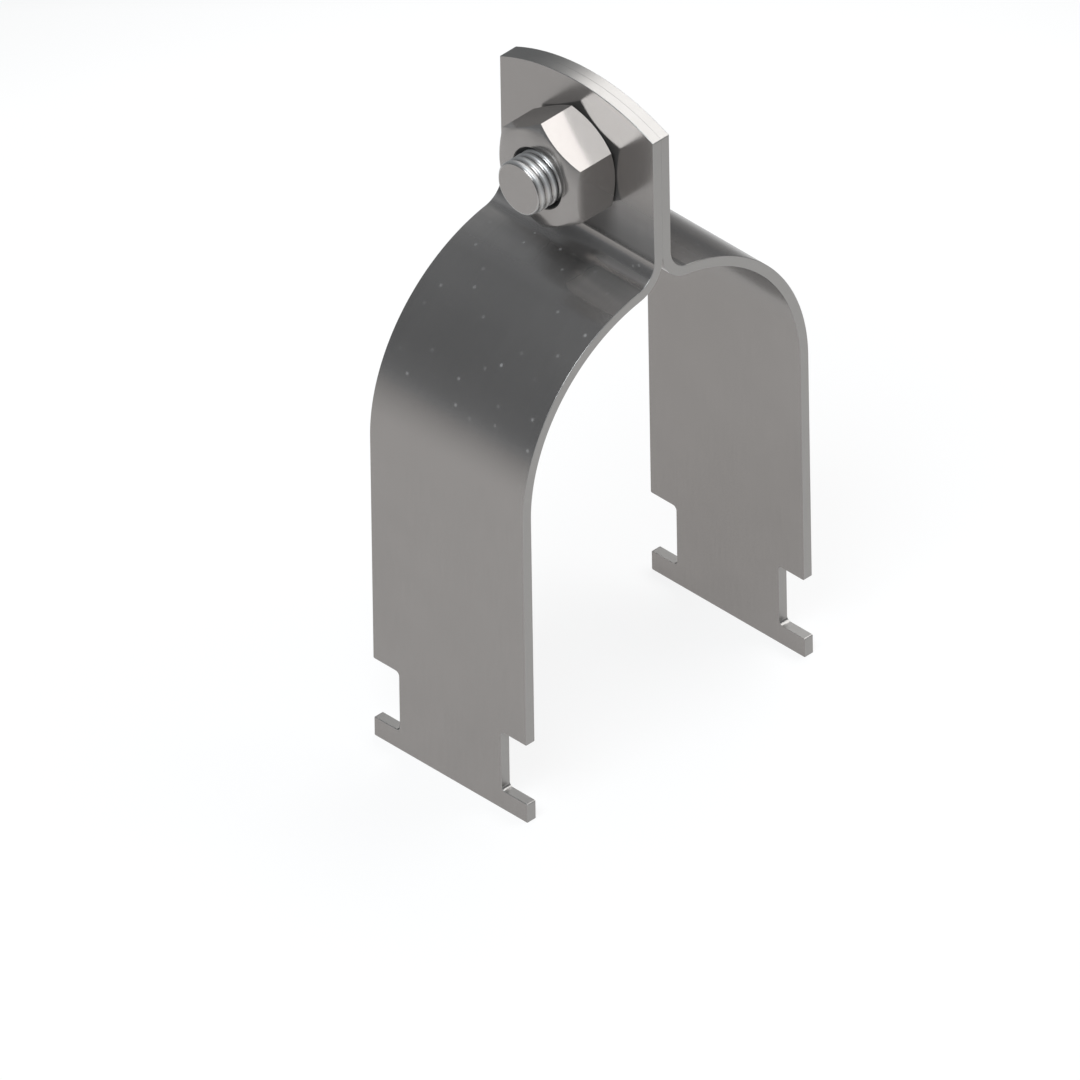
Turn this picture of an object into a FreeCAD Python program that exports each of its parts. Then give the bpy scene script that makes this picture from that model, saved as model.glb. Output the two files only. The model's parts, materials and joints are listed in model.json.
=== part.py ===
import FreeCAD, Part
import math
import os
import Sketcher

# Adjustable pipe clamp: two folded steel straps, drawn together by one bolt through their ears.
# Millimetres. The origin is on the axis of the pipe seat, midway along the strip.
# +X runs along the pipe, +Y from the near strap to the far one, +Z up to the ears.

SIZES = [
    ("strip_width", 36.0, "width of each strap, along the pipe"),
    ("strip_thickness", 1.9, "thickness of the strip"),
    ("seat_radius", 31.6, "inside radius of the pipe seat"),
    ("bend_radius", 4.7, "inside radius of the bend from seat to ear"),
    ("bolt_above_bend", 12.87, "bolt axis, above the start of the flat ear"),
    ("ear_above_bolt", 15.1, "top of the ears, above the bolt axis"),
    ("ear_edge_radius", 42.5, "radius of the ears' curved top edge"),
    ("shoulder_depth", 45.4, "shoulders above the notches, below the seat axis"),
    ("notch_height", 12.0, "height of the notches for the channel's lips"),
    ("notch_depth", 6.0, "depth of each notch, from the strip's side to its neck"),
    ("notch_corner_radius", 0.8, "radius in the notches' inner corners"),
    ("foot_height", 3.8, "height of the foot below the notches"),
    ("edge_break", 0.2, "chamfer that breaks the strip's edges"),
    ("bolt_diameter", 10.0, "outside diameter of the bolt's shank"),
    ("ear_hole_play", 1.0, "ear hole's diameter over the bolt's"),
    ("bolt_past_nut", 4.4, "bolt's reach past the nut"),
    ("bolt_end_chamfer", 0.35, "chamfer at the bolt's end"),
    ("head_across_flats", 16.0, "bolt head across flats"),
    ("head_height", 6.2, "height of the bolt head"),
    ("head_face_inset", 0.4, "head's flats, out past the circle where its corners are chamfered"),
    ("washer_face_inset", 0.7, "head's flats, out past the round bearing face under it"),
    ("washer_face_height", 0.5, "height of that bearing face"),
    ("under_head_radius", 0.3, "fillet between head and shank"),
    ("nut_across_flats", 18.3, "nut across flats"),
    ("nut_thickness", 9.4, "thickness of the nut"),
    ("nut_face_inset", 0.45, "nut's flats, out past the circle where its corners are chamfered"),
    ("nut_bore_play", 0.1, "nut bore's diameter over the bolt's"),
    ("nut_countersink", 0.75, "depth of the countersink at each end of the nut's bore"),
    ("corner_chamfer_angle", 30.0, "slope of the chamfers on nut and head, in degrees"),
]

# Expressions that several pieces share. Every cutter reaches past the metal by one strip thickness.
SEAT_TO_BEND = "(Sizes.seat_radius + Sizes.strip_thickness + Sizes.bend_radius)"
PLANE_TO_BEND = "(Sizes.strip_thickness + Sizes.bend_radius)"
BEND_HEIGHT = f"sqrt({SEAT_TO_BEND}^2 - {PLANE_TO_BEND}^2)"
BOLT_HEIGHT = f"{BEND_HEIGHT} + Sizes.bolt_above_bend"
EAR_TOP = f"{BOLT_HEIGHT} + Sizes.ear_above_bolt"
CUT_REACH = "Sizes.strip_thickness"

# Radii, positions and directions that differ by less than this are the same.
SAME = 1e-6

# Places on a sketch element, and the sketch's own origin and upright axis
START, END, CENTRE = range(1, 4)
ORIGIN = (-1, START)
UPRIGHT = -2

doc = FreeCAD.newDocument("PipeClamp")
sheet = doc.addObject("Spreadsheet::Sheet", "Sizes")
for row, (alias, value, note) in enumerate(SIZES, start=1):
    sheet.set(f"A{row}", note)
    sheet.set(f"B{row}", str(value))
    sheet.setAlias(f"B{row}", alias)
doc.recompute()


# The sheet's sizes as numbers. They place a sketch's first lines, and its constraints then hold them.
def size(alias):
    return float(sheet.get(alias))


def corner_radius(across_flats):
    return size(across_flats) / 2 / math.cos(math.radians(30))


cut_reach = size("strip_thickness")
outer_seat = size("seat_radius") + size("strip_thickness")
bend_y = -size("strip_thickness") - size("bend_radius")
bend_z = math.sqrt((outer_seat + size("bend_radius")) ** 2 - bend_y ** 2)
bolt_z = bend_z + size("bolt_above_bend")
ear_top = bolt_z + size("ear_above_bolt")
shoulder_z = -size("shoulder_depth")
lip_z = shoulder_z - size("notch_height")
sole_z = lip_z - size("foot_height")
half_width = size("strip_width") / 2


def new_body(label):
    body = doc.addObject("PartDesign::Body", label)
    body.Label = label
    return body


def new_sketch(body, name, plane):
    """Sketch on one of the body's own origin planes."""
    sketch = body.newObject("Sketcher::SketchObject", name)
    support = next(item for item in body.Origin.OriginFeatures if item.Role == plane)
    sketch.AttachmentSupport = (support, [""])
    sketch.MapMode = "FlatFace"
    return sketch


def add_line(sketch, start, end):
    return sketch.addGeometry(Part.LineSegment(FreeCAD.Vector(*start, 0), FreeCAD.Vector(*end, 0)))


def add_circle(sketch, centre, radius, construction=False):
    circle = Part.Circle(FreeCAD.Vector(*centre, 0), FreeCAD.Vector(0, 0, 1), radius)
    return sketch.addGeometry(circle, construction)


def add_arc(sketch, centre, radius, start, end):
    circle = Part.Circle(FreeCAD.Vector(*centre, 0), FreeCAD.Vector(0, 0, 1), radius)
    return sketch.addGeometry(Part.ArcOfCircle(circle, start, end))


def add_outline(sketch, corners):
    """Closed outline of straight lines. Level and upright ones are held so. Returns their indices."""
    ends = corners[1:] + corners[:1]
    lines = [add_line(sketch, start, end) for start, end in zip(corners, ends)]
    for this, following in zip(lines, lines[1:] + lines[:1]):
        constrain(sketch, "Coincident", this, END, following, START)
    for index, start, end in zip(lines, corners, ends):
        if start[1] == end[1]:
            constrain(sketch, "Horizontal", index)
        elif start[0] == end[0]:
            constrain(sketch, "Vertical", index)
    return lines


def constrain(sketch, kind, *arguments):
    return sketch.addConstraint(Sketcher.Constraint(kind, *arguments))


def drive(sketch, name, kind, *arguments, by):
    """Named dimension that starts at the size drawn and is bound to an expression."""
    if kind in ("Radius", "Diameter"):
        drawn = sketch.Geometry[arguments[0]].Radius * (2 if kind == "Diameter" else 1)
    else:
        step = sketch.getPoint(*arguments[2:4]) - sketch.getPoint(*arguments[0:2])
        drawn = step.x if kind == "DistanceX" else step.y
    index = constrain(sketch, kind, *arguments, drawn)
    sketch.renameConstraint(index, name)
    sketch.setExpression(f"Constraints.{name}", by)


def check_cut(body, feature):
    """Recompute a cut and make sure that it took metal away."""
    before = feature.BaseFeature.Shape.Volume
    doc.recompute()
    if not feature.Shape.Volume < before:
        raise RuntimeError(f"{body.Label}: {feature.Name} cuts nothing")
    return feature


def cut_through(body, sketch, name):
    """Cut the sketch's outline through the metal on both sides of its plane."""
    pocket = body.newObject("PartDesign::Pocket", name)
    pocket.Profile = sketch
    pocket.Type = "ThroughAll"
    pocket.SideType = "Symmetric"
    return check_cut(body, pocket)


def cut_round(body, sketch, name):
    """Turn the sketch's outline about its upright axis and take it away."""
    groove = body.newObject("PartDesign::Groove", name)
    groove.Profile = sketch
    groove.ReferenceAxis = (sketch, ["V_Axis"])
    groove.Angle = 360
    return check_cut(body, groove)


def add_pad(body, sketch, name, length):
    pad = body.newObject("PartDesign::Pad", name)
    pad.Profile = sketch
    pad.setExpression("Length", length)
    return pad


def dress_edges(body, kind, name, base, wanted, length, by):
    """Fillet or chamfer the edges of the base feature that the test picks."""
    picked = [f"Edge{number}" for number, edge in enumerate(base.Shape.Edges, start=1) if wanted(edge)]
    feature = body.newObject(kind, name)
    feature.Base = (base, picked)
    feature.setExpression(length, by)
    doc.recompute()
    return feature


def is_circle(edge, radius):
    return isinstance(edge.Curve, Part.Circle) and abs(edge.Curve.Radius - radius) < SAME


def runs_along_y(edge):
    return isinstance(edge.Curve, Part.Line) and abs(abs(edge.Curve.Direction.y) - 1) < SAME


def is_broad(face):
    """True for the strip's two broad sides, flat or bent about the pipe's direction."""
    surface = face.Surface
    if isinstance(surface, Part.Plane):
        return abs(abs(surface.Axis.y) - 1) < SAME
    return isinstance(surface, Part.Cylinder) and abs(abs(surface.Axis.x) - 1) < SAME


# The folded strip, seen along the pipe. Leg, seat, reverse bend and ear run into each other smoothly.
def draw_strip(body):
    sketch = new_sketch(body, "StripSection", "YZ_Plane")
    inner_seat = size("seat_radius")
    bend = size("bend_radius")
    plane_y = -size("strip_thickness")
    blank_top = ear_top + cut_reach
    touch = math.atan2(bend_z, bend_y)

    leg_out = add_line(sketch, (-outer_seat, sole_z), (-outer_seat, 0))
    seat_out = add_arc(sketch, (0, 0), outer_seat, touch, math.pi)
    bend_in = add_arc(sketch, (bend_y, bend_z), bend, touch - math.pi, 0)
    ear_out = add_line(sketch, (plane_y, bend_z), (plane_y, blank_top))
    cap = add_line(sketch, (plane_y, blank_top), (0, blank_top))
    ear_in = add_line(sketch, (0, blank_top), (0, bend_z))
    bend_out = add_arc(sketch, (bend_y, bend_z), -bend_y, touch - math.pi, 0)
    seat_in = add_arc(sketch, (0, 0), inner_seat, touch, math.pi)
    leg_in = add_line(sketch, (-inner_seat, 0), (-inner_seat, sole_z))
    sole = add_line(sketch, (-inner_seat, sole_z), (-outer_seat, sole_z))

    constrain(sketch, "Coincident", seat_out, CENTRE, *ORIGIN)
    constrain(sketch, "Coincident", seat_in, CENTRE, *ORIGIN)
    constrain(sketch, "Coincident", bend_in, CENTRE, bend_out, CENTRE)
    constrain(sketch, "Tangent", leg_out, END, seat_out, END)
    constrain(sketch, "Tangent", seat_out, START, bend_in, START)
    constrain(sketch, "Tangent", bend_in, END, ear_out, START)
    constrain(sketch, "Coincident", ear_out, END, cap, START)
    constrain(sketch, "Coincident", cap, END, ear_in, START)
    constrain(sketch, "Tangent", ear_in, END, bend_out, END)
    constrain(sketch, "Tangent", bend_out, START, seat_in, START)
    constrain(sketch, "Tangent", seat_in, END, leg_in, START)
    constrain(sketch, "Coincident", leg_in, END, sole, START)
    constrain(sketch, "Coincident", sole, END, leg_out, START)
    for upright in (leg_out, ear_out, ear_in, leg_in):
        constrain(sketch, "Vertical", upright)
    for level in (cap, sole):
        constrain(sketch, "Horizontal", level)
    constrain(sketch, "PointOnObject", cap, END, UPRIGHT)
    drive(sketch, "thickness", "DistanceX", cap, START, cap, END, by="Sizes.strip_thickness")
    drive(sketch, "seat", "Radius", seat_in, by="Sizes.seat_radius")
    drive(sketch, "bend", "Radius", bend_in, by="Sizes.bend_radius")
    drive(sketch, "top", "DistanceY", *ORIGIN, cap, END, by=f"{EAR_TOP} + {CUT_REACH}")
    drive(sketch, "sole", "DistanceY", sole, END, *ORIGIN,
          by="Sizes.shoulder_depth + Sizes.notch_height + Sizes.foot_height")
    return sketch


# What lies above the ear's curved top edge
def draw_ear_trim(body):
    sketch = new_sketch(body, "EarTrim", "XZ_Plane")
    radius = size("ear_edge_radius")
    reach = half_width + cut_reach
    centre = ear_top - radius
    end = math.acos(reach / radius)
    side = centre + radius * math.sin(end)
    roof = ear_top + 2 * cut_reach

    edge = add_arc(sketch, (0, centre), radius, end, math.pi - end)
    left = add_line(sketch, (-reach, side), (-reach, roof))
    above = add_line(sketch, (-reach, roof), (reach, roof))
    right = add_line(sketch, (reach, roof), (reach, side))
    for this, following in ((edge, left), (left, above), (above, right), (right, edge)):
        constrain(sketch, "Coincident", this, END, following, START)
    constrain(sketch, "Vertical", left)
    constrain(sketch, "Horizontal", above)
    constrain(sketch, "Vertical", right)
    constrain(sketch, "PointOnObject", edge, CENTRE, UPRIGHT)
    drive(sketch, "edge", "Radius", edge, by="Sizes.ear_edge_radius")
    drive(sketch, "roof", "DistanceY", *ORIGIN, above, END, by=f"{EAR_TOP} + 2 * {CUT_REACH}")
    drive(sketch, "rise", "DistanceY", edge, CENTRE, above, END, by=f"Sizes.ear_edge_radius + 2 * {CUT_REACH}")
    drive(sketch, "span", "DistanceX", above, START, above, END, by=f"Sizes.strip_width + 2 * {CUT_REACH}")
    return sketch


# Two open notches in the leg, one from each side. They leave a neck, and a foot as wide as the strip.
def draw_notches(body):
    sketch = new_sketch(body, "LipNotches", "XZ_Plane")
    neck = half_width - size("notch_depth")
    outside = half_width + cut_reach
    reach = f"Sizes.notch_depth + {CUT_REACH}"
    half_neck = "Sizes.strip_width / 2 - Sizes.notch_depth"
    right = add_outline(sketch, [(neck, lip_z), (outside, lip_z), (outside, shoulder_z), (neck, shoulder_z)])
    left = add_outline(sketch, [(-outside, lip_z), (-neck, lip_z), (-neck, shoulder_z), (-outside, shoulder_z)])
    drive(sketch, "right_neck", "DistanceX", *ORIGIN, right[0], START, by=half_neck)
    drive(sketch, "left_neck", "DistanceX", left[0], END, *ORIGIN, by=half_neck)
    for name, lines in (("right", right), ("left", left)):
        floor, wall = lines[0:2]
        drive(sketch, f"{name}_reach", "DistanceX", floor, START, floor, END, by=reach)
        drive(sketch, f"{name}_height", "DistanceY", wall, START, wall, END, by="Sizes.notch_height")
        drive(sketch, f"{name}_shoulder", "DistanceY", wall, END, *ORIGIN, by="Sizes.shoulder_depth")
    return sketch


def draw_ear_hole(body):
    sketch = new_sketch(body, "EarHole", "XZ_Plane")
    hole = add_circle(sketch, (0, bolt_z), (size("bolt_diameter") + size("ear_hole_play")) / 2)
    constrain(sketch, "PointOnObject", hole, CENTRE, UPRIGHT)
    drive(sketch, "height", "DistanceY", *ORIGIN, hole, CENTRE, by=BOLT_HEIGHT)
    drive(sketch, "diameter", "Diameter", hole, by="Sizes.bolt_diameter + Sizes.ear_hole_play")
    return sketch


# One strap. The far one is the same pressing, turned half a turn about the vertical axis.
def make_strap(label, turn):
    body = new_body(label)
    strip = add_pad(body, draw_strip(body), "Strip", "Sizes.strip_width")
    strip.SideType = "Symmetric"
    doc.recompute()
    cut_through(body, draw_ear_trim(body), "EarTop")
    notched = cut_through(body, draw_notches(body), "Notches")

    neck = half_width - size("notch_depth")
    rounded = dress_edges(body, "PartDesign::Fillet", "NotchCorners", notched,
                          lambda edge: runs_along_y(edge) and abs(abs(edge.CenterOfMass.x) - neck) < SAME,
                          "Radius", "Sizes.notch_corner_radius")

    def borders_broad_side(edge):
        broad = [is_broad(face) for face in rounded.Shape.ancestorsOfType(edge, Part.Face)]
        return True in broad and False in broad

    dress_edges(body, "PartDesign::Chamfer", "BrokenEdges", rounded, borders_broad_side,
                "Size", "Sizes.edge_break")
    cut_through(body, draw_ear_hole(body), "BoltHole")
    body.Placement = FreeCAD.Placement(FreeCAD.Vector(0, 0, 0), FreeCAD.Rotation(FreeCAD.Vector(0, 0, 1), turn))
    return body


# Six equal sides round the axis, with a corner on the sketch's upright axis
def draw_hexagon(body, name, across_flats):
    sketch = new_sketch(body, name, "XY_Plane")
    radius = corner_radius(across_flats)
    angles = [math.radians(90 + 60 * k) for k in range(6)]
    corners = [(radius * math.cos(angle), radius * math.sin(angle)) for angle in angles]
    sides = [add_line(sketch, start, end) for start, end in zip(corners, corners[1:] + corners[:1])]
    circle = add_circle(sketch, (0, 0), radius, construction=True)
    constrain(sketch, "Coincident", circle, CENTRE, *ORIGIN)
    for this, following in zip(sides, sides[1:] + sides[:1]):
        constrain(sketch, "Coincident", this, END, following, START)
        constrain(sketch, "PointOnObject", this, START, circle)
    for side in sides[1:]:
        constrain(sketch, "Equal", sides[0], side)
    constrain(sketch, "PointOnObject", sides[0], START, UPRIGHT)
    drive(sketch, "corners", "Radius", circle, by=f"Sizes.{across_flats} / 2 / cos(30 deg)")
    return sketch


# Triangle outside the cone that takes the corners off one end of a hexagon. `height` names the size
# that the end lies from the sketch's origin, if any. `side` is 1 where that end faces up, or else -1.
def draw_corner_cutter(sketch, name, across_flats, inset, side, height=None):
    inner = size(across_flats) / 2 - size(inset)
    outer = corner_radius(across_flats) + cut_reach
    level = side * size(height) if height else 0
    drop = (outer - inner) * math.tan(math.radians(size("corner_chamfer_angle")))
    face, rim, _ = add_outline(sketch, [(inner, level), (outer, level), (outer, level - side * drop)])

    inner_by = f"(Sizes.{across_flats} / 2 - Sizes.{inset})"
    outer_by = f"(Sizes.{across_flats} / 2 / cos(30 deg) + {CUT_REACH})"
    drive(sketch, f"{name}_face", "DistanceX", *ORIGIN, face, START, by=inner_by)
    drive(sketch, f"{name}_reach", "DistanceX", *ORIGIN, face, END, by=outer_by)
    low, high = (END, START) if side > 0 else (START, END)
    drive(sketch, f"{name}_drop", "DistanceY", rim, low, rim, high,
          by=f"({outer_by} - {inner_by}) * tan(Sizes.corner_chamfer_angle * 1 deg)")
    if height is None:
        constrain(sketch, "PointOnObject", face, START, ORIGIN[0])
    elif side > 0:
        drive(sketch, f"{name}_level", "DistanceY", *ORIGIN, face, START, by=f"Sizes.{height}")
    else:
        drive(sketch, f"{name}_level", "DistanceY", face, START, *ORIGIN, by=f"Sizes.{height}")


def lay_across_ears(body, y_by):
    """Turn the body's own axis level, from the far ear to the near one, at the bolt's height."""
    body.Placement = FreeCAD.Placement(FreeCAD.Vector(0, 0, 0), FreeCAD.Rotation(FreeCAD.Vector(1, 0, 0), 90))
    body.setExpression("Placement.Base.y", y_by)
    body.setExpression("Placement.Base.z", BOLT_HEIGHT)


# The outline that is turned to bore and countersink the nut
def draw_nut_bore(body):
    sketch = new_sketch(body, "NutBoreCutter", "XZ_Plane")
    radius = (size("bolt_diameter") + size("nut_bore_play")) / 2
    mouth = radius + size("nut_countersink")
    height = size("nut_thickness")
    low = size("nut_countersink")
    high = height - low
    corners = [(0, 0), (mouth, 0), (radius, low), (radius, high), (mouth, height), (0, height)]
    bottom, _, wall, _, top, axis = add_outline(sketch, corners)
    radius_by = "(Sizes.bolt_diameter + Sizes.nut_bore_play) / 2"
    constrain(sketch, "Coincident", bottom, START, *ORIGIN)
    constrain(sketch, "Equal", bottom, top)
    drive(sketch, "bore", "DistanceX", *ORIGIN, wall, START, by=radius_by)
    drive(sketch, "mouth", "DistanceX", bottom, START, bottom, END, by=f"{radius_by} + Sizes.nut_countersink")
    drive(sketch, "lower_sink", "DistanceY", *ORIGIN, wall, START, by="Sizes.nut_countersink")
    drive(sketch, "upper_sink", "DistanceY", wall, END, top, START, by="Sizes.nut_countersink")
    drive(sketch, "height", "DistanceY", axis, END, axis, START, by="Sizes.nut_thickness")
    return sketch


# Nut, seated on the near ear, with corners chamfered and bore countersunk at both ends
def make_nut():
    body = new_body("hex_nut")
    add_pad(body, draw_hexagon(body, "NutHexagon", "nut_across_flats"), "NutBlank", "Sizes.nut_thickness")
    doc.recompute()
    corners = new_sketch(body, "NutCornerCutters", "XZ_Plane")
    draw_corner_cutter(corners, "outer", "nut_across_flats", "nut_face_inset", 1, "nut_thickness")
    draw_corner_cutter(corners, "seat", "nut_across_flats", "nut_face_inset", -1)
    cut_round(body, corners, "NutCorners")
    cut_round(body, draw_nut_bore(body), "NutBore")
    lay_across_ears(body, "-Sizes.strip_thickness")
    return body


# The ring that is turned away round the head's bearing face
def draw_washer_relief(body):
    sketch = new_sketch(body, "WasherFaceCutter", "XZ_Plane")
    inner = size("head_across_flats") / 2 - size("washer_face_inset")
    outer = corner_radius("head_across_flats") + cut_reach
    step = size("washer_face_height")
    floor, wall, seat, _ = add_outline(sketch, [(inner, -step), (outer, -step), (outer, 0), (inner, 0)])
    constrain(sketch, "PointOnObject", seat, END, ORIGIN[0])
    drive(sketch, "inner", "DistanceX", *ORIGIN, floor, START,
          by="Sizes.head_across_flats / 2 - Sizes.washer_face_inset")
    drive(sketch, "outer", "DistanceX", *ORIGIN, floor, END,
          by=f"Sizes.head_across_flats / 2 / cos(30 deg) + {CUT_REACH}")
    drive(sketch, "step", "DistanceY", wall, START, wall, END, by="Sizes.washer_face_height")
    return sketch


def draw_shank(body):
    sketch = new_sketch(body, "ShankSection", "XY_Plane")
    circle = add_circle(sketch, (0, 0), size("bolt_diameter") / 2)
    constrain(sketch, "Coincident", circle, CENTRE, *ORIGIN)
    drive(sketch, "diameter", "Diameter", circle, by="Sizes.bolt_diameter")
    return sketch


# Bolt, with its head on the far ear. Its own origin lies in the head's bearing face.
def make_bolt():
    body = new_body("hex_bolt")
    head = add_pad(body, draw_hexagon(body, "HeadHexagon", "head_across_flats"), "Head", "Sizes.head_height")
    head.Reversed = True
    doc.recompute()
    corners = new_sketch(body, "HeadCornerCutter", "XZ_Plane")
    draw_corner_cutter(corners, "top", "head_across_flats", "head_face_inset", -1, "head_height")
    cut_round(body, corners, "HeadCorners")
    cut_round(body, draw_washer_relief(body), "WasherFace")
    shank = add_pad(body, draw_shank(body), "Shank",
                    "2 * Sizes.strip_thickness + Sizes.nut_thickness + Sizes.bolt_past_nut")
    doc.recompute()

    def is_shank_end(edge, level):
        return is_circle(edge, size("bolt_diameter") / 2) and abs(edge.Curve.Center.z - level) < SAME

    root = dress_edges(body, "PartDesign::Fillet", "UnderHead", shank,
                       lambda edge: is_shank_end(edge, 0), "Radius", "Sizes.under_head_radius")
    dress_edges(body, "PartDesign::Chamfer", "ShankEnd", root,
                lambda edge: is_shank_end(edge, shank.Length.Value), "Size", "Sizes.bolt_end_chamfer")
    lay_across_ears(body, "Sizes.strip_thickness")
    return body


bodies = [make_strap("strap_near", 0), make_strap("strap_far", 180), make_bolt(), make_nut()]
doc.recompute()

for item in doc.Objects:
    if "Invalid" in item.State or "Error" in item.State:
        raise RuntimeError(f"{item.Name} failed: {item.State}")
for body in bodies:
    if body.Shape.isNull() or not body.Shape.isValid() or len(body.Shape.Solids) != 1:
        raise RuntimeError(f"{body.Label} is not one valid solid")

os.makedirs("parts", exist_ok=True)
for body in bodies:
    body.Shape.exportStep(os.path.join("parts", f"{body.Label}.step"))
    box = body.Shape.optimalBoundingBox(True, False)
    print(f"{body.Label}: volume {body.Shape.Volume:.1f} mm3, {len(body.Shape.Faces)} faces,"
          f" X {box.XMin:.2f} to {box.XMax:.2f}, Y {box.YMin:.2f} to {box.YMax:.2f},"
          f" Z {box.ZMin:.2f} to {box.ZMax:.2f}")
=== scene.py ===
import json
import math

import bmesh
import bpy
from mathutils import Matrix, Vector
from mathutils.geometry import delaunay_2d_cdt


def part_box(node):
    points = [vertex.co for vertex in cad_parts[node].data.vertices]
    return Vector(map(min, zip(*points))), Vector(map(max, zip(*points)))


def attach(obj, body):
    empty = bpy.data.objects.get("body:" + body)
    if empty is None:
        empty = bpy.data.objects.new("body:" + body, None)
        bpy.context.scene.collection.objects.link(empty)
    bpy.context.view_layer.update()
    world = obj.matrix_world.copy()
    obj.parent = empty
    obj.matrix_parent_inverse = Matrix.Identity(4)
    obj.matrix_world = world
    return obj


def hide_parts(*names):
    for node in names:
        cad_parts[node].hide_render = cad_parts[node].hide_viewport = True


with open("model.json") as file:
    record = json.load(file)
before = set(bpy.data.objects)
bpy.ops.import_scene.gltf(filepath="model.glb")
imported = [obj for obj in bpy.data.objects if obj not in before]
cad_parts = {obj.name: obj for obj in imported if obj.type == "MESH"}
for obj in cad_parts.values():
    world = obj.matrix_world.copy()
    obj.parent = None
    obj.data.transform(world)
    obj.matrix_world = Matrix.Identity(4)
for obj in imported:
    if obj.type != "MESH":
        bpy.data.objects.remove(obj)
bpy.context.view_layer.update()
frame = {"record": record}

# Adjustable pipe clamp: two folded steel straps, a bolt through their ears and its nut.
# Metres, in the frame's axes: +X along the seat's axis, +Y from the near strap to the far one, +Z up.
MM = 0.001
strap_low, strap_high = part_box("strap_near")
nut_low, nut_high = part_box("hex_nut")
bolt_low, bolt_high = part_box("hex_bolt")
pipe_seat = next(mount for mount in frame["record"]["mounts"] if mount["name"] == "pipe_seat")

# The strip and its folds
HALF_WIDTH = strap_high.x
OUTER_SEAT = -strap_low.y
INNER_SEAT = pipe_seat["dims"]["r_mm"] * MM
THICKNESS = OUTER_SEAT - INNER_SEAT
BEND_RADIUS = 4.7 * MM
SOLE_Z = strap_low.z
SHOULDER_Z = -45.4 * MM
LIP_Z = -57.4 * MM
NECK = 12.0 * MM
NOTCH_RADIUS = 0.8 * MM
CORNER_RADIUS = 0.25 * MM
HOLE_RADIUS = 5.5 * MM
BOLT_Z = (nut_low.z + nut_high.z) / 2
EAR_TOP = BOLT_Z + 15.1 * MM
EAR_EDGE_RADIUS = 42.5 * MM

# How far the strip's walls are rounded into its faces
OUTER_EDGE_RADIUS = 0.12 * MM
INNER_EDGE_RADIUS = 0.03 * MM
HOLE_EDGE_RADIUS = 0.1 * MM

# The nut and the bolt. Heights along their axis are counted from the face that sits on an ear.
CHAMFER_SLOPE = math.tan(math.radians(30))
HEX_EDGE_WIDTH = 0.12 * MM
NUT_SEAT_Y = nut_high.y
NUT_HEIGHT = nut_high.y - nut_low.y
NUT_APOTHEM = (nut_high.x - nut_low.x) / 2
NUT_FACE_INSET = 0.45 * MM
BORE_RADIUS = 5.05 * MM
COUNTERSINK = 0.75 * MM
SHADE_DEPTH = 0.3 * COUNTERSINK
HEAD_SEAT_Y = THICKNESS
HEAD_HEIGHT = bolt_high.y - HEAD_SEAT_Y
HEAD_APOTHEM = (bolt_high.x - bolt_low.x) / 2
HEAD_FACE_INSET = 0.4 * MM
WASHER_FACE_INSET = 0.7 * MM
WASHER_FACE_HEIGHT = 0.5 * MM
UNDER_HEAD_RADIUS = 0.3 * MM
BOLT_RADIUS = 5.0 * MM
BOLT_LENGTH = HEAD_SEAT_Y - bolt_low.y
BOLT_END_CHAMFER = 0.35 * MM
BOLT_END_ROUNDING = 0.15 * MM
PITCH = 1.5 * MM
THREAD_DEPTH = 0.45 * MM
THREAD_START = 2.5 * MM

# Where each fold begins, along the strip's middle line. The leg lies below zero.
PLANE_TO_BEND = THICKNESS + BEND_RADIUS
BEND_Z = math.sqrt((OUTER_SEAT + BEND_RADIUS) ** 2 - PLANE_TO_BEND ** 2)
FOLD_ANGLE = math.atan2(BEND_Z, PLANE_TO_BEND)
SEAT_LINE = INNER_SEAT + THICKNESS / 2
BEND_LINE = BEND_RADIUS + THICKNESS / 2
BEND_START = SEAT_LINE * FOLD_ANGLE
EAR_START = BEND_START + BEND_LINE * FOLD_ANGLE


def along_ear(z):
    """Place along the strip of a height on the ear."""
    return EAR_START + z - BEND_Z


def folded(x, along, depth):
    """Point, upward direction and outward normal on the near strap, at a depth under its outer face."""
    if along < 0:
        y, z, angle = depth - OUTER_SEAT, along, 0
    elif along < BEND_START:
        angle = along / SEAT_LINE
        radius = OUTER_SEAT - depth
        y, z = -radius * math.cos(angle), radius * math.sin(angle)
    elif along < EAR_START:
        angle = (EAR_START - along) / BEND_LINE
        radius = BEND_RADIUS + depth
        y, z = radius * math.cos(angle) - PLANE_TO_BEND, BEND_Z - radius * math.sin(angle)
    else:
        y, z, angle = depth - THICKNESS, BEND_Z + along - EAR_START, 0
    up = Vector((0, math.sin(angle), math.cos(angle)))
    outward = Vector((0, -math.cos(angle), math.sin(angle)))
    return Vector((x, y, z)), up, outward


# Outlines on the flat strip: x across it, y along it. Each point comes with its outward normal.
def right_of(direction):
    return Vector((direction.y, -direction.x))


def turned(direction, angle):
    return Matrix.Rotation(angle, 2) @ direction


def round_corner(corner, before, after, radius, steps=6):
    angle = -before.angle_signed(after)
    side = math.copysign(1, angle)
    start = corner - before * radius * math.tan(abs(angle) / 2)
    centre = start - right_of(before) * radius * side
    normals = [right_of(turned(before, angle * step / steps)) for step in range(steps + 1)]
    return [(centre + normal * radius * side, normal) for normal in normals]


def rows_along_strip():
    """Places along the strip where the mesh has a row of points: close together where it is folded."""
    rows = []
    for low, high, count in ((SOLE_Z, 0, 20), (0, BEND_START, 80), (BEND_START, EAR_START, 24),
                             (EAR_START, EAR_START + EAR_TOP - BEND_Z, 12)):
        rows += [low + (high - low) * step / count for step in range(count)]
    return rows[1:]


ROWS = rows_along_strip()


def side_points(x, low, high, margin=0.3 * MM):
    """Points up one side of the strip, one on each row between two places."""
    normal = Vector((math.copysign(1, x), 0))
    return [(Vector((x, row)), normal) for row in ROWS if low + margin < row < high - margin]


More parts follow.
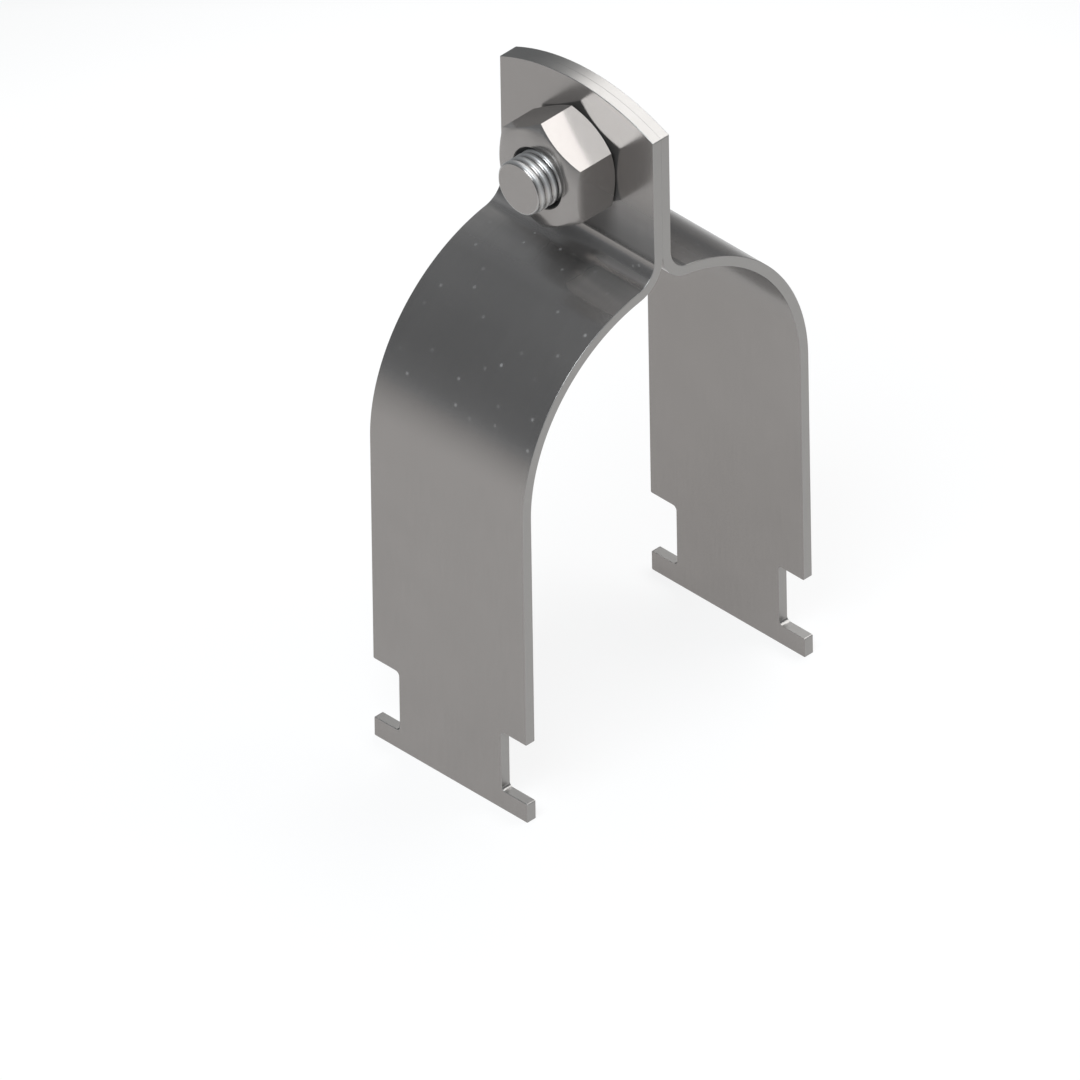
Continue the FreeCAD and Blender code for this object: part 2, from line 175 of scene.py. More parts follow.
def strip_outline(top_steps=12):
    """The strip's outline, anticlockwise: its right side up to the top, then that side's mirror image."""
    right, up = Vector((1, 0)), Vector((0, 1))
    ear_centre = along_ear(EAR_TOP - EAR_EDGE_RADIUS)
    half_angle = math.asin(HALF_WIDTH / EAR_EDGE_RADIUS)
    ear_side = ear_centre + EAR_EDGE_RADIUS * math.cos(half_angle)
    over = turned(-right, -half_angle)

    points = []
    points += round_corner(Vector((HALF_WIDTH, SOLE_Z)), right, up, CORNER_RADIUS)
    points += round_corner(Vector((HALF_WIDTH, LIP_Z)), up, -right, CORNER_RADIUS)
    points += round_corner(Vector((NECK, LIP_Z)), -right, up, NOTCH_RADIUS)
    points += side_points(NECK, LIP_Z + NOTCH_RADIUS, SHOULDER_Z - NOTCH_RADIUS)
    points += round_corner(Vector((NECK, SHOULDER_Z)), up, right, NOTCH_RADIUS)
    points += round_corner(Vector((HALF_WIDTH, SHOULDER_Z)), right, up, CORNER_RADIUS)
    points += side_points(HALF_WIDTH, SHOULDER_Z + CORNER_RADIUS, ear_side - CORNER_RADIUS)
    points += round_corner(Vector((HALF_WIDTH, ear_side)), up, over, CORNER_RADIUS)
    for step in range(1, top_steps):
        normal = turned(up, -half_angle * (1 - step / top_steps))
        points.append((Vector((0, ear_centre)) + normal * EAR_EDGE_RADIUS, normal))
    top = [(Vector((0, ear_centre + EAR_EDGE_RADIUS)), up)]
    mirrored = [(Vector((-point.x, point.y)), Vector((-normal.x, normal.y)))
                for point, normal in reversed(points)]
    return points + top + mirrored


def hole_outline(steps=64):
    """The bolt hole, whose outward normals point into its open middle."""
    centre = Vector((0, along_ear(BOLT_Z)))
    spokes = [Vector((math.cos(angle), math.sin(angle)))
              for angle in (-2 * math.pi * step / steps for step in range(steps))]
    return [(centre + spoke * HOLE_RADIUS, -spoke) for spoke in spokes]


class Shell:
    """Vertices with their own normals, and two things for the material: where each lies on the flat
    strip, and how far it is worn, from 0 on the broad faces to 1 on the sheared wall."""

    def __init__(self):
        self.points, self.normals, self.places, self.wear, self.faces = [], [], [], [], []

    def add(self, point, normal, place, wear_and_painted_shade):
        self.points.append(point)
        self.normals.append(normal.normalized())
        self.places.append(place)
        self.wear.append(wear_and_painted_shade)
        return len(self.points) - 1

    def make(self, name, half_turn):
        """Mesh object, turned by half a turn about Z where that is asked."""
        turn = Matrix.Rotation(math.pi if half_turn else 0, 3, "Z")
        mesh = bpy.data.meshes.new(name)
        mesh.from_pydata([turn @ point for point in self.points], [], self.faces)
        places = mesh.uv_layers.new(name="strip")
        for loop in mesh.loops:
            places.data[loop.index].uv = self.places[loop.vertex_index]
        mesh.attributes.new("wear_and_painted_shade", "FLOAT", "POINT").data.foreach_set("value", self.wear)
        mesh.polygons.foreach_set("use_smooth", [True] * len(mesh.polygons))
        mesh.normals_split_custom_set_from_vertices([turn @ normal for normal in self.normals])
        return link(name, mesh)


def link(name, data):
    item = bpy.data.objects.new(name, data)
    bpy.context.scene.collection.objects.link(item)
    return item


def add_rim(shell, outline, outer_radius, inner_radius, steps=4, wear_rise=3):
    """The wall through the strip's thickness, rounded into both faces. Returns the loops in the faces.
    The wear is whole once the rounding has turned by about 20 degrees."""
    angles = [math.pi / 2 * step / steps for step in range(steps + 1)]
    section = [(outer_radius * (1 - math.sin(angle)), outer_radius * (1 - math.cos(angle)), angle)
               for angle in angles]
    section += [(inner_radius * (1 - math.sin(angle)), THICKNESS - inner_radius * (1 - math.cos(angle)),
                 math.pi - angle) for angle in reversed(angles)]

    loops = []
    for inset, depth, angle in section:
        loop = []
        for flat, side in outline:
            place = flat - side * inset
            point, up, outward = folded(place.x, place.y, depth)
            wall = Vector((side.x, 0, 0)) + up * side.y
            normal = wall * math.sin(angle) + outward * math.cos(angle)
            loop.append(shell.add(point, normal, place, min(1, wear_rise * math.sin(angle))))
        loops.append(loop)
    count = len(outline)
    for upper, lower in zip(loops, loops[1:]):
        for this in range(count):
            following = (this + 1) % count
            shell.faces.append((upper[this], lower[this], lower[following], upper[following]))
    return loops[0], loops[-1]


def inner_points(loops, spacing=2.6 * MM, margin=0.9 * MM):
    """Places on the rows, inside the strip and clear of its outline and its hole."""
    columns = round(2 * HALF_WIDTH / spacing)
    edge = [place for loop in loops for place in loop]
    hole = Vector((0, along_ear(BOLT_Z)))
    places = []
    for row in ROWS:
        for column in range(1, columns):
            place = Vector((HALF_WIDTH * (2 * column / columns - 1), row))
            in_notch = LIP_Z < row < SHOULDER_Z and abs(place.x) > NECK
            top = along_ear(EAR_TOP - EAR_EDGE_RADIUS + math.sqrt(EAR_EDGE_RADIUS ** 2 - place.x ** 2))
            if in_notch or row > top - margin or (place - hole).length < HOLE_RADIUS + margin:
                continue
            if min((place - other).length_squared for other in edge) > margin ** 2:
                places.append(place)
    return places


def add_face(shell, loops, depth, facing, weld=1e-4 * MM):
    """One broad face of the strip between the rim's loops. `facing` is 1 for the outer face and -1 for
    the inner one."""
    flats = [[shell.places[index] for index in loop] for loop in loops]
    inner = inner_points(flats)
    indices = [index for loop in loops for index in loop]
    for place in inner:
        point, _, outward = folded(place.x, place.y, depth)
        indices.append(shell.add(point, outward * facing, place, 0))

    places = [place for flat in flats for place in flat] + inner
    edges = []
    start = 0
    for flat in flats:
        edges += [(start + step, start + (step + 1) % len(flat)) for step in range(len(flat))]
        start += len(flat)
    _, _, triangles, kept, _, _ = delaunay_2d_cdt(places, edges, [], 1, weld)
    hole = Vector((0, along_ear(BOLT_Z)))
    for triangle in triangles:
        corners = [kept[index][0] for index in triangle]
        middle = sum((places[corner] for corner in corners), Vector((0, 0))) / 3
        if (middle - hole).length < HOLE_RADIUS:
            continue
        face = [indices[corner] for corner in corners]
        shell.faces.append(face if facing > 0 else face[::-1])


def make_strap(name, node, half_turn):
    shell = Shell()
    outer_edge, inner_edge = add_rim(shell, strip_outline(), OUTER_EDGE_RADIUS, INNER_EDGE_RADIUS)
    outer_hole, inner_hole = add_rim(shell, hole_outline(), HOLE_EDGE_RADIUS, HOLE_EDGE_RADIUS)
    add_face(shell, (outer_edge, outer_hole), 0, 1)
    add_face(shell, (inner_edge, inner_hole), THICKNESS, -1)
    strap = shell.make(name, half_turn)
    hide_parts(node)
    return strap


# Nut and bolt: rings of points round their axis, hexagonal or round
FACET_STEPS = 12
SPOKES = [2 * math.pi * step / (6 * FACET_STEPS) for step in range(6 * FACET_STEPS)]
EDGE_ANGLE = math.radians(20)
SMOOTH_ANGLE = math.radians(42)


def hexagon(apothem):
    """Radius at each spoke of a hexagon with a corner at the top."""
    sixth = math.pi / 3
    return [apothem / math.cos((angle + sixth / 2) % sixth - sixth / 2) for angle in SPOKES]


def add_ring(bm, radii, heights, seat_y, away):
    """Ring about the bolt's axis, its heights counted from seat_y along Y in the direction `away`."""
    return [bm.verts.new((radius * math.cos(angle), seat_y + away * height,
                          BOLT_Z + radius * math.sin(angle)))
            for angle, radius, height in zip(SPOKES, radii, heights)]


def level_ring(bm, radius, height, seat_y, away):
    return add_ring(bm, [radius] * len(SPOKES), [height] * len(SPOKES), seat_y, away)


def join_rings(bm, rings):
    for upper, lower in zip(rings, rings[1:]):
        for this in range(len(SPOKES)):
            following = (this + 1) % len(SPOKES)
            bm.faces.new((upper[this], lower[this], lower[following], upper[following]))


def round_edges(bm, wanted):
    """Rounds the wanted edges, where they are edges at all and not only lines of the mesh."""
    edges = [edge for edge in bm.edges if edge.calc_face_angle(0) > EDGE_ANGLE and wanted(edge)]
    bmesh.ops.bevel(bm, geom=edges, offset=HEX_EDGE_WIDTH, offset_type="OFFSET", segments=3, profile=0.5,
                    affect="EDGES", clamp_overlap=True)


def finish_turned(bm, name, node):
    """Mesh object with flat facets and soft edges."""
    bmesh.ops.recalc_face_normals(bm, faces=bm.faces)
    mesh = bpy.data.meshes.new(name)
    bm.to_mesh(mesh)
    bm.free()
    mesh.polygons.foreach_set("use_smooth", [True] * len(mesh.polygons))
    mesh.set_sharp_from_angle(angle=SMOOTH_ANGLE)
    item = link(name, mesh)
    weighted = item.modifiers.new("even_shading", "WEIGHTED_NORMAL")
    weighted.keep_sharp = True
    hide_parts(node)
    return item


def make_nut():
    """Nut whose bore, from a little way down its countersinks, is marked for painted shade, as dark as a
    thread in shade.
    """
    bm = bmesh.new()
    wear_and_painted_shade = bm.verts.layers.float.new("wear_and_painted_shade")
    sides = hexagon(NUT_APOTHEM)
    face = NUT_APOTHEM - NUT_FACE_INSET
    mouth = BORE_RADIUS + COUNTERSINK
    shaded = mouth - SHADE_DEPTH
    drops = [(radius - face) * CHAMFER_SLOPE for radius in sides]
    place = (NUT_SEAT_Y, -1)
    outside = [
        level_ring(bm, mouth, NUT_HEIGHT, *place),
        level_ring(bm, face, NUT_HEIGHT, *place),
        add_ring(bm, sides, [NUT_HEIGHT - drop for drop in drops], *place),
        add_ring(bm, sides, drops, *place),
        level_ring(bm, face, 0, *place),
        level_ring(bm, mouth, 0, *place),
    ]
    bore = [
        level_ring(bm, shaded, SHADE_DEPTH, *place),
        level_ring(bm, BORE_RADIUS, COUNTERSINK, *place),
        level_ring(bm, BORE_RADIUS, NUT_HEIGHT - COUNTERSINK, *place),
        level_ring(bm, shaded, NUT_HEIGHT - SHADE_DEPTH, *place),
    ]
    # The bore's rings are marked for the painted shade
    for ring in bore:
        for vertex in ring:
            vertex[wear_and_painted_shade] = 1
    join_rings(bm, outside + bore + outside[:1])
    round_edges(bm, lambda edge: True)
    return finish_turned(bm, "nut", "hex_nut")


# One pitch of the thread: how far along it, and how deep there, both as shares of the whole
THREAD_SECTION = [(0.0, 0.0), (0.10, 0.01), (0.17, 0.07), (0.23, 0.2), (0.39, 0.8), (0.44, 0.95), (0.5, 1.0),
                  (0.56, 0.95), (0.61, 0.8), (0.77, 0.2), (0.83, 0.07), (0.90, 0.01), (1.0, 0.0)]


def thread_depth(turns):
    """How deep the thread is, as a share of the whole, after a number of turns."""
    share = turns % 1
    for (low, shallow), (high, deep) in zip(THREAD_SECTION, THREAD_SECTION[1:]):
        if share <= high:
            return shallow + (deep - shallow) * (share - low) / (high - low)


def thread_ring(bm, wear_and_painted_shade, along):
    """Ring of the right-handed thread, worn at its crests. The thread fades in over one turn and is cut off
    by the chamfer at the tip."""
    fade = min(1, (along - THREAD_START) / PITCH)
    cone = BOLT_RADIUS - max(0, along - BOLT_LENGTH + BOLT_END_CHAMFER)
    depths = [fade * thread_depth(along / PITCH - angle / (2 * math.pi)) for angle in SPOKES]
    radii = [min(cone, BOLT_RADIUS - THREAD_DEPTH * depth) for depth in depths]
    ring = add_ring(bm, radii, [along] * len(SPOKES), HEAD_SEAT_Y, -1)
    for vertex, depth in zip(ring, depths):
        vertex[wear_and_painted_shade] = 1 - depth
    return ring


def make_bolt(round_steps=4, rings_per_pitch=20):
    """Bolt from the top of its head to its tip. Only the head's edges are rounded."""
    bm = bmesh.new()
    wear_and_painted_shade = bm.verts.layers.float.new("wear_and_painted_shade")
    sides = hexagon(HEAD_APOTHEM)
    face = HEAD_APOTHEM - HEAD_FACE_INSET
    washer = HEAD_APOTHEM - WASHER_FACE_INSET
    drops = [(radius - face) * CHAMFER_SLOPE for radius in sides]
    place = (HEAD_SEAT_Y, 1)
    head = [
        level_ring(bm, face, HEAD_HEIGHT, *place),
        add_ring(bm, sides, [HEAD_HEIGHT - drop for drop in drops], *place),
        add_ring(bm, sides, [WASHER_FACE_HEIGHT] * len(SPOKES), *place),
        level_ring(bm, washer, WASHER_FACE_HEIGHT, *place),
        level_ring(bm, washer, 0, *place),
    ]
    fillet = [level_ring(bm, BOLT_RADIUS + UNDER_HEAD_RADIUS * (1 - math.sin(angle)),
                         UNDER_HEAD_RADIUS * (1 - math.cos(angle)), HEAD_SEAT_Y, -1)
              for angle in (math.pi / 2 * step / round_steps for step in range(round_steps + 1))]
    chamfer_start = BOLT_LENGTH - BOLT_END_CHAMFER
    rings = round((chamfer_start - THREAD_START) / (PITCH / rings_per_pitch))
    heights = [THREAD_START + (chamfer_start - THREAD_START) * step / rings for step in range(rings + 1)]
    heights += [chamfer_start + BOLT_END_CHAMFER * step / round_steps for step in range(1, round_steps + 1)]
    thread = [thread_ring(bm, wear_and_painted_shade, height) for height in heights]
    tip = level_ring(bm, BOLT_RADIUS - BOLT_END_CHAMFER - BOLT_END_ROUNDING, BOLT_LENGTH, HEAD_SEAT_Y, -1)
    bm.faces.new(head[0])
    join_rings(bm, head + fillet + thread + [tip])
    bm.faces.new(tip)
    just_under_head = HEAD_SEAT_Y - 0.01 * MM
    round_edges(bm, lambda edge: all(vertex.co.y > just_under_head for vertex in edge.verts))
    return finish_turned(bm, "bolt", "hex_bolt")


# Materials: the steels, and how their tone and roughness vary about the middle
STEEL = (0.277, 0.261, 0.250)
SHEARED_STEEL = (0.315, 0.305, 0.295)
THREAD_STEEL = (0.54, 0.53, 0.52)
# Painted shade: the nut's bore, near black, as dark as its thread in shade
BORE_PAINTED_SHADE = (0.05, 0.05, 0.05)
TONE_SPREAD = 0.04
GRAIN_SHARE = 0.6
GRAIN_SPREAD = 0.02
CLOUD_SPREAD = 0.015
NOISE_LOW, NOISE_HIGH = 0.3, 0.7
CLOUD_SCALE = 90.0
GRAIN_HEIGHT = 0.02 * MM
GRAIN_STRENGTH = 0.08
# The grain's scales across the strip and along it, and the even one of turned pieces
ALONG_STRIP = (2600, 130, 1)
ROUND_AXIS = (900, 900, 900)
# The strip mirrors less at a glancing angle than bare steel would
GLANCING_TINT = (0.70, 0.70, 0.70, 1)

# Dusty specks: cells in a metre, a speck's rim as shares of its cell, and the most that dust covers
DUST = (0.55, 0.54, 0.53)
SPECK_CELLS = 180.0
SPECK_INNER, SPECK_OUTER = 0.03, 0.08
SPECK_COVER = 0.35
SPECK_ROUGHNESS = 0.3
# The upward lean of a surface at which specks begin, and from which all lie on it
LEAN_START, LEAN_FULL = 0.25, 0.45

# The strip round its bend, from 0, some way down the seat, to 1, some way up the ear: smoother in the bend,
# and in bands less metallic, whose diffuse light is painted fill light in the hollows in place of reflections
# of the pipe and channel
DOWN_SEAT = 9 * MM
UP_EAR = 11 * MM
BEND_SMOOTHNESS = [(0.41, 0.0), (0.48, 0.10), (0.61, 0.10), (0.77, 0.0)]
BEND_PAINTED_FILL_DULLNESS = [(0.0, 0.0), (0.10, 0.12), (0.15, 0.11), (0.26, 0.0), (0.57, 0.0), (0.63, 0.35),
                 (0.80, 0.38), (1.0, 0.0)]
# A less metallic streak beside the nut: painted fill light at its sides, painted shadow in its gap under the
# nut
NUT_SHADOW_STREAK_DULLNESS = [(0.10, 0.0), (0.20, 0.20), (0.28, 0.28), (0.34, 0.22), (0.38, 0.07), (0.41, 0.38),
                   (0.44, 0.25), (0.47, 0.0)]
# The streak has a gap under the nut, which leaves a painted shadow of the nut there: its middle, and how far
# from it the streak begins and is whole
NUT_SHADOW_X = 2 * MM
NUT_SHADOW_INNER, NUT_SHADOW_OUTER = 3 * MM, 6.5 * MM


class Nodes:
    """Short names for building a node tree."""

    def __init__(self, tree):
        self.tree = tree

    def add(self, kind, **settings):
        node = self.tree.nodes.new(kind)
        for name, value in settings.items():
            setattr(node, name, value)
        return node

    def link(self, source, target):
        self.tree.links.new(source, target)

    def noise(self, vector, scale, detail):
        node = self.add("ShaderNodeTexNoise")
        node.inputs["Scale"].default_value = scale
        node.inputs["Detail"].default_value = detail
        self.link(vector, node.inputs["Vector"])
        return node.outputs["Fac"]

    def ranged(self, value, low, high, out_low, out_high):
        node = self.add("ShaderNodeMapRange")
        numbers = {"From Min": low, "From Max": high, "To Min": out_low, "To Max": out_high}
        for name, number in numbers.items():
            node.inputs[name].default_value = number
        self.link(value, node.inputs["Value"])
        return node.outputs["Result"]

    def math(self, operation, first, second=0.0):
        node = self.add("ShaderNodeMath", operation=operation)
        for source, target in ((first, node.inputs[0]), (second, node.inputs[1])):
            if isinstance(source, (int, float)):
                target.default_value = source
            else:
                self.link(source, target)
        return node.outputs[0]

    def stretched(self, vector, scale):
        node = self.add("ShaderNodeMapping")
        node.inputs["Scale"].default_value = scale
        self.link(vector, node.inputs["Vector"])
        return node.outputs["Vector"]

    def split(self, vector):
        node = self.add("ShaderNodeSeparateXYZ")
        self.link(vector, node.inputs[0])
        return node.outputs

    def tones(self, factor, stops, tint=(1, 1, 1)):
        """Tone at a factor between 0 and 1, from stops of a place and its tone."""
        node = self.add("ShaderNodeValToRGB")
        elements = node.color_ramp.elements
        while len(elements) < len(stops):
            elements.new(1.0)
        for element, (position, tone) in zip(elements, stops):
            element.position = position
            element.color = (*(tone * channel for channel in tint), 1)
        self.link(factor, node.inputs["Fac"])
        return node.outputs["Color"]

    def mixed(self, factor, first, second):
        node = self.add("ShaderNodeMix", data_type="RGBA")
        for source, target in ((first, node.inputs[6]), (second, node.inputs[7])):
            if isinstance(source, tuple):
                target.default_value = (*source, 1)
            else:
                self.link(source, target)
        self.link(factor, node.inputs[0])
        return node.outputs[2]

    def specks(self, place):
        """Small soft spots on what looks up, each of its own strength, three in a square centimetre."""
        cells = self.add("ShaderNodeTexVoronoi", feature="F1", voronoi_dimensions="2D")
        cells.inputs["Scale"].default_value = SPECK_CELLS
        self.link(place, cells.inputs["Vector"])
        near = self.ranged(cells.outputs["Distance"], SPECK_INNER, SPECK_OUTER, 1.0, 0.0)
        chance = self.split(cells.outputs["Color"])["X"]
        spots = self.math("MULTIPLY", near, self.ranged(chance, 0.1, 1.0, 0.0, SPECK_COVER))
        lean = self.split(self.add("ShaderNodeNewGeometry").outputs["Normal"])["Z"]
        return self.math("MULTIPLY", spots, self.ranged(lean, LEAN_START, LEAN_FULL, 0.0, 1.0))

    def past_bend(self, place):
        """How far a place on the strip lies past the bend, from 0 down the seat to 1 up the ear."""
        return self.ranged(self.split(place)["Y"], BEND_START - DOWN_SEAT, EAR_START + UP_EAR, 0.0, 1.0)

    def outside_nut_shadow(self, place):
        """How far a place on the strip lies to the side of the nut, from 0 under it, in its painted shadow,
        to 1.
        """
        aside = self.math("ABSOLUTE", self.math("SUBTRACT", self.split(place)["X"], NUT_SHADOW_X))
        return self.ranged(aside, NUT_SHADOW_INNER, NUT_SHADOW_OUTER, 0.0, 1.0)


def steel(name, metal_share, roughness, grain_scale, wear_and_shade_colour, wear_and_shade_roughness, on_strip=False):
    """Satin steel with a drawn grain and a cloudy sheen. What is worn has a colour and roughness of its own:
    the strip's sheared walls and the crests of the thread. The bore of the nut takes painted shade in the
    same way, as dark as a thread in shade. A strip has a few dusty specks. It is smoother in its bend, and
    duller in bands beside it and in a streak beside the nut. This less metallic steel gives painted fill
    light there, and the streak's gap leaves painted shade under the nut."""
    material = bpy.data.materials.new(name)
    material.use_nodes = True
    nodes = Nodes(material.node_tree)
    shader = material.node_tree.nodes["Principled BSDF"]
    coordinates = nodes.add("ShaderNodeTexCoord").outputs
    place = coordinates["UV"] if on_strip else coordinates["Object"]

    grain = nodes.noise(nodes.stretched(place, grain_scale), 1.0, 4.0)
    cloud = nodes.noise(coordinates["Object"], CLOUD_SCALE, 2.0)
    wear_and_painted_shade = nodes.add("ShaderNodeAttribute", attribute_name="wear_and_painted_shade").outputs["Fac"]
    tone = nodes.math("ADD", nodes.ranged(grain, NOISE_LOW, NOISE_HIGH, 0.0, GRAIN_SHARE),
                      nodes.ranged(cloud, NOISE_LOW, NOISE_HIGH, 0.0, 1 - GRAIN_SHARE))
    darker, lighter = (tuple(share * channel for channel in STEEL)
                       for share in (1 - TONE_SPREAD, 1 + TONE_SPREAD))
    # Worn places take their own colour, and the nut's bore takes its painted shade
    colour = nodes.mixed(wear_and_painted_shade, nodes.mixed(tone, darker, lighter), wear_and_shade_colour)

    sheen = nodes.math(
        "ADD", nodes.ranged(grain, NOISE_LOW, NOISE_HIGH, roughness - GRAIN_SPREAD, roughness + GRAIN_SPREAD),
        nodes.ranged(cloud, NOISE_LOW, NOISE_HIGH, -CLOUD_SPREAD, CLOUD_SPREAD))
    rough = nodes.math("ADD", sheen, nodes.math("MULTIPLY", wear_and_painted_shade, wear_and_shade_roughness - roughness))
    shader.inputs["Metallic"].default_value = metal_share
    if on_strip:
        on_face = nodes.ranged(wear_and_painted_shade, 0.0, 0.5, 1.0, 0.0)
        specks = nodes.math("MULTIPLY", nodes.specks(place), on_face)
        colour = nodes.mixed(specks, colour, DUST)
        past_bend = nodes.past_bend(place)
        smoother = nodes.math("MULTIPLY", nodes.tones(past_bend, BEND_SMOOTHNESS), on_face)
        # Painted fill light beside the nut, with painted shadow under it
        nut_shadow_streak = nodes.math("MULTIPLY", nodes.tones(past_bend, NUT_SHADOW_STREAK_DULLNESS), nodes.outside_nut_shadow(place))
        # Bands of less metallic steel whose diffuse light is painted fill light in the bend's hollows
        painted_fill_bands = nodes.math("ADD", nut_shadow_streak, nodes.tones(past_bend, BEND_PAINTED_FILL_DULLNESS))
        # Dust specks, and the painted fill light of the bands and the streak
        dust_and_painted_fill = nodes.math("MAXIMUM", specks, nodes.math("MULTIPLY", painted_fill_bands, on_face))
        rough = nodes.math("ADD", rough, nodes.math("MULTIPLY", specks, SPECK_ROUGHNESS))
        rough = nodes.math("SUBTRACT", rough, smoother)
        nodes.link(nodes.ranged(dust_and_painted_fill, 0.0, 1.0, metal_share, 0.0), shader.inputs["Metallic"])
        shader.inputs["Specular Tint"].default_value = GLANCING_TINT
    nodes.link(colour, shader.inputs["Base Color"])
    nodes.link(rough, shader.inputs["Roughness"])

    bump = nodes.add("ShaderNodeBump")
    bump.inputs["Strength"].default_value = GRAIN_STRENGTH
    bump.inputs["Distance"].default_value = GRAIN_HEIGHT
    nodes.link(grain, bump.inputs["Height"])
    nodes.link(bump.outputs["Normal"], shader.inputs["Normal"])
    return material


strap_material = steel("strap_satin", metal_share=0.85, roughness=0.20, grain_scale=ALONG_STRIP,
                       wear_and_shade_colour=SHEARED_STEEL, wear_and_shade_roughness=0.34, on_strip=True)
bolt_material = steel("bolt_bright", metal_share=0.85, roughness=0.20, grain_scale=ROUND_AXIS,
                      wear_and_shade_colour=THREAD_STEEL, wear_and_shade_roughness=0.48)
# The nut's bore is painted near black as painted shade
nut_material = steel("nut_bright", metal_share=0.80, roughness=0.15, grain_scale=ROUND_AXIS,
                     wear_and_shade_colour=BORE_PAINTED_SHADE, wear_and_shade_roughness=0.5)

pieces = [
    (make_strap("strap_near_folded", "strap_near", False), strap_material),
    (make_strap("strap_far_folded", "strap_far", True), strap_material),
    (make_bolt(), bolt_material),
    (make_nut(), nut_material),
]
for piece, material in pieces:
    piece.data.materials.append(material)
    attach(piece, "root")


# Studio
FLOOR_RADIUS = 1.0
FLOOR_SHOWN = 0.85
FLOOR_PAINT = (0.9, 0.9, 0.9, 1)
# The floor glow's tone at distances from the middle: painted shade, darker further out, where a studio
# floor's light falls off
FLOOR_TONES = [(0.0, 1.0), (0.20, 1.0), (0.26, 0.87), (0.33, 0.76), (0.50, 0.62), (0.80, 0.53), (1.0, 0.50)]
# The room's tone at heights from straight down, 0, to straight up, 1
ROOM_TONES = [(0.46, 0.50), (0.50, 0.34), (0.53, 0.26), (0.67, 0.20), (0.80, 0.21), (0.92, 0.30)]
ROOM_TINT = (0.95, 1.01, 1.07)
# Behind the object, away from the camera, the floor and the room are darker; on the floor this is painted
# shade in its glow
BACKWARD = (-0.714, 0.70, 0)
BACK_START, BACK_END = 0.195, 0.32
BACK_TONE = 0.4
ROOM_BACK_START, ROOM_BACK_END = -0.1, 0.5
ROOM_BACK_TONE = 0.5


def make_floor():
    """Round floor at the soles. Where the camera or the steel sees it, it is mostly a pale glow of its own,
    painted darker further out and behind the object as painted shade, and for the rest plain paint, which
    keeps the object's shadow."""
    bm = bmesh.new()
    bmesh.ops.create_circle(bm, cap_ends=True, segments=96, radius=FLOOR_RADIUS)
    bmesh.ops.translate(bm, verts=bm.verts, vec=(0, 0, SOLE_Z))
    mesh = bpy.data.meshes.new("floor")
    bm.to_mesh(mesh)
    bm.free()
    material = bpy.data.materials.new("floor_white")
    material.use_nodes = True
    material.node_tree.nodes.clear()
    nodes = Nodes(material.node_tree)
    rays = nodes.add("ShaderNodeLightPath").outputs
    seen = nodes.math("ADD", nodes.math("ADD", rays["Is Camera Ray"], rays["Is Glossy Ray"]),
                      rays["Is Transmission Ray"])
    share = nodes.math("MULTIPLY", nodes.math("MINIMUM", seen, 1.0), FLOOR_SHOWN)
    paint = nodes.add("ShaderNodeBsdfDiffuse")
    paint.inputs["Color"].default_value = FLOOR_PAINT
    glow = nodes.add("ShaderNodeEmission")
    place = nodes.add("ShaderNodeTexCoord").outputs["Object"]
    distance = nodes.add("ShaderNodeVectorMath", operation="LENGTH")
    nodes.link(place, distance.inputs[0])
    nodes.link(nodes.tones(distance.outputs["Value"], FLOOR_TONES), glow.inputs["Color"])
    behind = nodes.add("ShaderNodeVectorMath", operation="DOT_PRODUCT")
    behind.inputs[1].default_value = BACKWARD
    nodes.link(place, behind.inputs[0])
    strength = nodes.ranged(behind.outputs["Value"], BACK_START, BACK_END, 1.0, BACK_TONE)
    nodes.link(strength, glow.inputs["Strength"])
    blend = nodes.add("ShaderNodeMixShader")
    nodes.link(share, blend.inputs[0])
    nodes.link(paint.outputs[0], blend.inputs[1])
    nodes.link(glow.outputs[0], blend.inputs[2])
    nodes.link(blend.outputs[0], nodes.add("ShaderNodeOutputMaterial").inputs["Surface"])
    mesh.materials.append(material)
    link("floor", mesh)


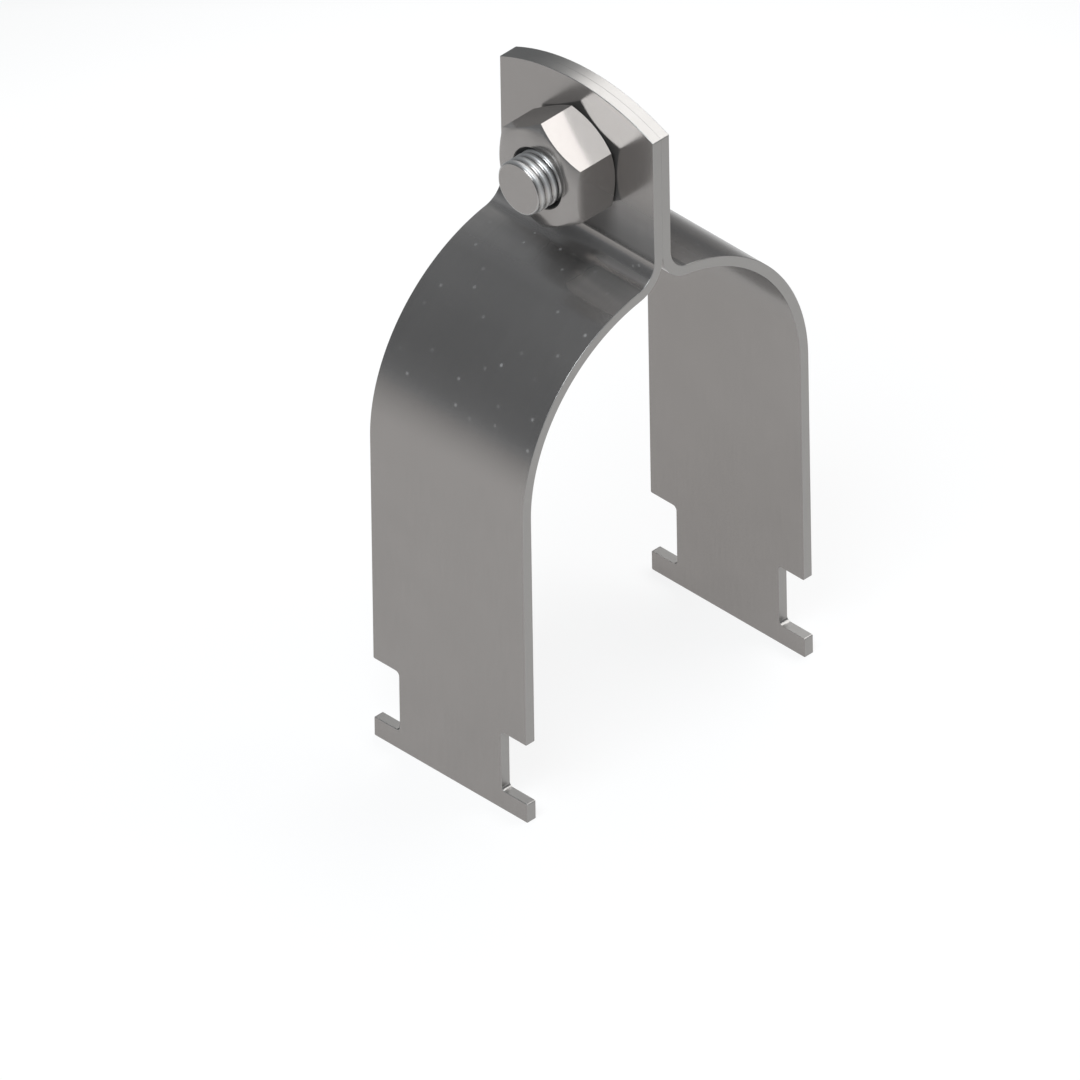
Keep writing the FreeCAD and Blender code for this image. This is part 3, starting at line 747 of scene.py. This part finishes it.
def make_world():
    """As pale as the floor's rim below the horizon, and a plain grey room above it, darker at the back."""
    world = bpy.data.worlds.new("studio")
    world.use_nodes = True
    bpy.context.scene.world = world
    nodes = Nodes(world.node_tree)
    direction = nodes.split(nodes.add("ShaderNodeTexCoord").outputs["Generated"])
    height = nodes.ranged(direction["Z"], -1.0, 1.0, 0.0, 1.0)
    strength = nodes.ranged(direction["Y"], ROOM_BACK_START, ROOM_BACK_END, 1.0, ROOM_BACK_TONE)
    room = world.node_tree.nodes["Background"].inputs
    nodes.link(nodes.tones(height, ROOM_TONES, ROOM_TINT), room["Color"])
    nodes.link(strength, room["Strength"])


def soft_lamp(name, direction, distance, size, radiance, colour=(1, 1, 1)):
    """Rectangular lamp that faces the origin. Its power follows from the radiance asked for."""
    width, height = size
    data = bpy.data.lights.new(name, "AREA")
    data.color = colour
    data.shape = "RECTANGLE"
    data.size, data.size_y = width, height
    data.energy = radiance * math.pi * width * height
    lamp = link(name, data)
    aim = Vector(direction).normalized()
    lamp.location = aim * distance
    lamp.rotation_euler = aim.to_track_quat("Z", "Y").to_euler()


# Camera. The place it aims at is counted to its own right and up from the origin.
VIEW_RIGHT = Vector((0.70654, 0.70755, -0.01271))
VIEW_UP = Vector((-0.40870, 0.42264, 0.80891))
VIEW_WIDTH = 179.25 * MM
AIM_RIGHT, AIM_UP = -8.161 * MM, -23.98 * MM
VIEW_DISTANCE = 0.6


def make_camera():
    """Parallel view from the near right, with the slight roll that the photograph has."""
    back = VIEW_RIGHT.cross(VIEW_UP).normalized()
    up = back.cross(VIEW_RIGHT).normalized()
    data = bpy.data.cameras.new("camera")
    data.type = "ORTHO"
    data.ortho_scale = VIEW_WIDTH
    camera = link("camera", data)
    aim = AIM_RIGHT * VIEW_RIGHT + AIM_UP * up
    turn = Matrix((VIEW_RIGHT.normalized(), up, back)).transposed()
    camera.matrix_world = Matrix.Translation(aim + back * VIEW_DISTANCE) @ turn.to_4x4()
    bpy.context.scene.camera = camera


make_floor()
make_world()
soft_lamp("lamp_behind", (0.03, 0.60, 0.80), distance=0.8, size=(1.1, 0.45), radiance=3.75)
soft_lamp("lamp_front", (0.22, -0.57, 0.79), distance=0.8, size=(0.45, 0.36), radiance=10.0,
          colour=(0.96, 1.03, 1.08))
make_camera()
bpy.context.scene.view_settings.view_transform = "Standard"
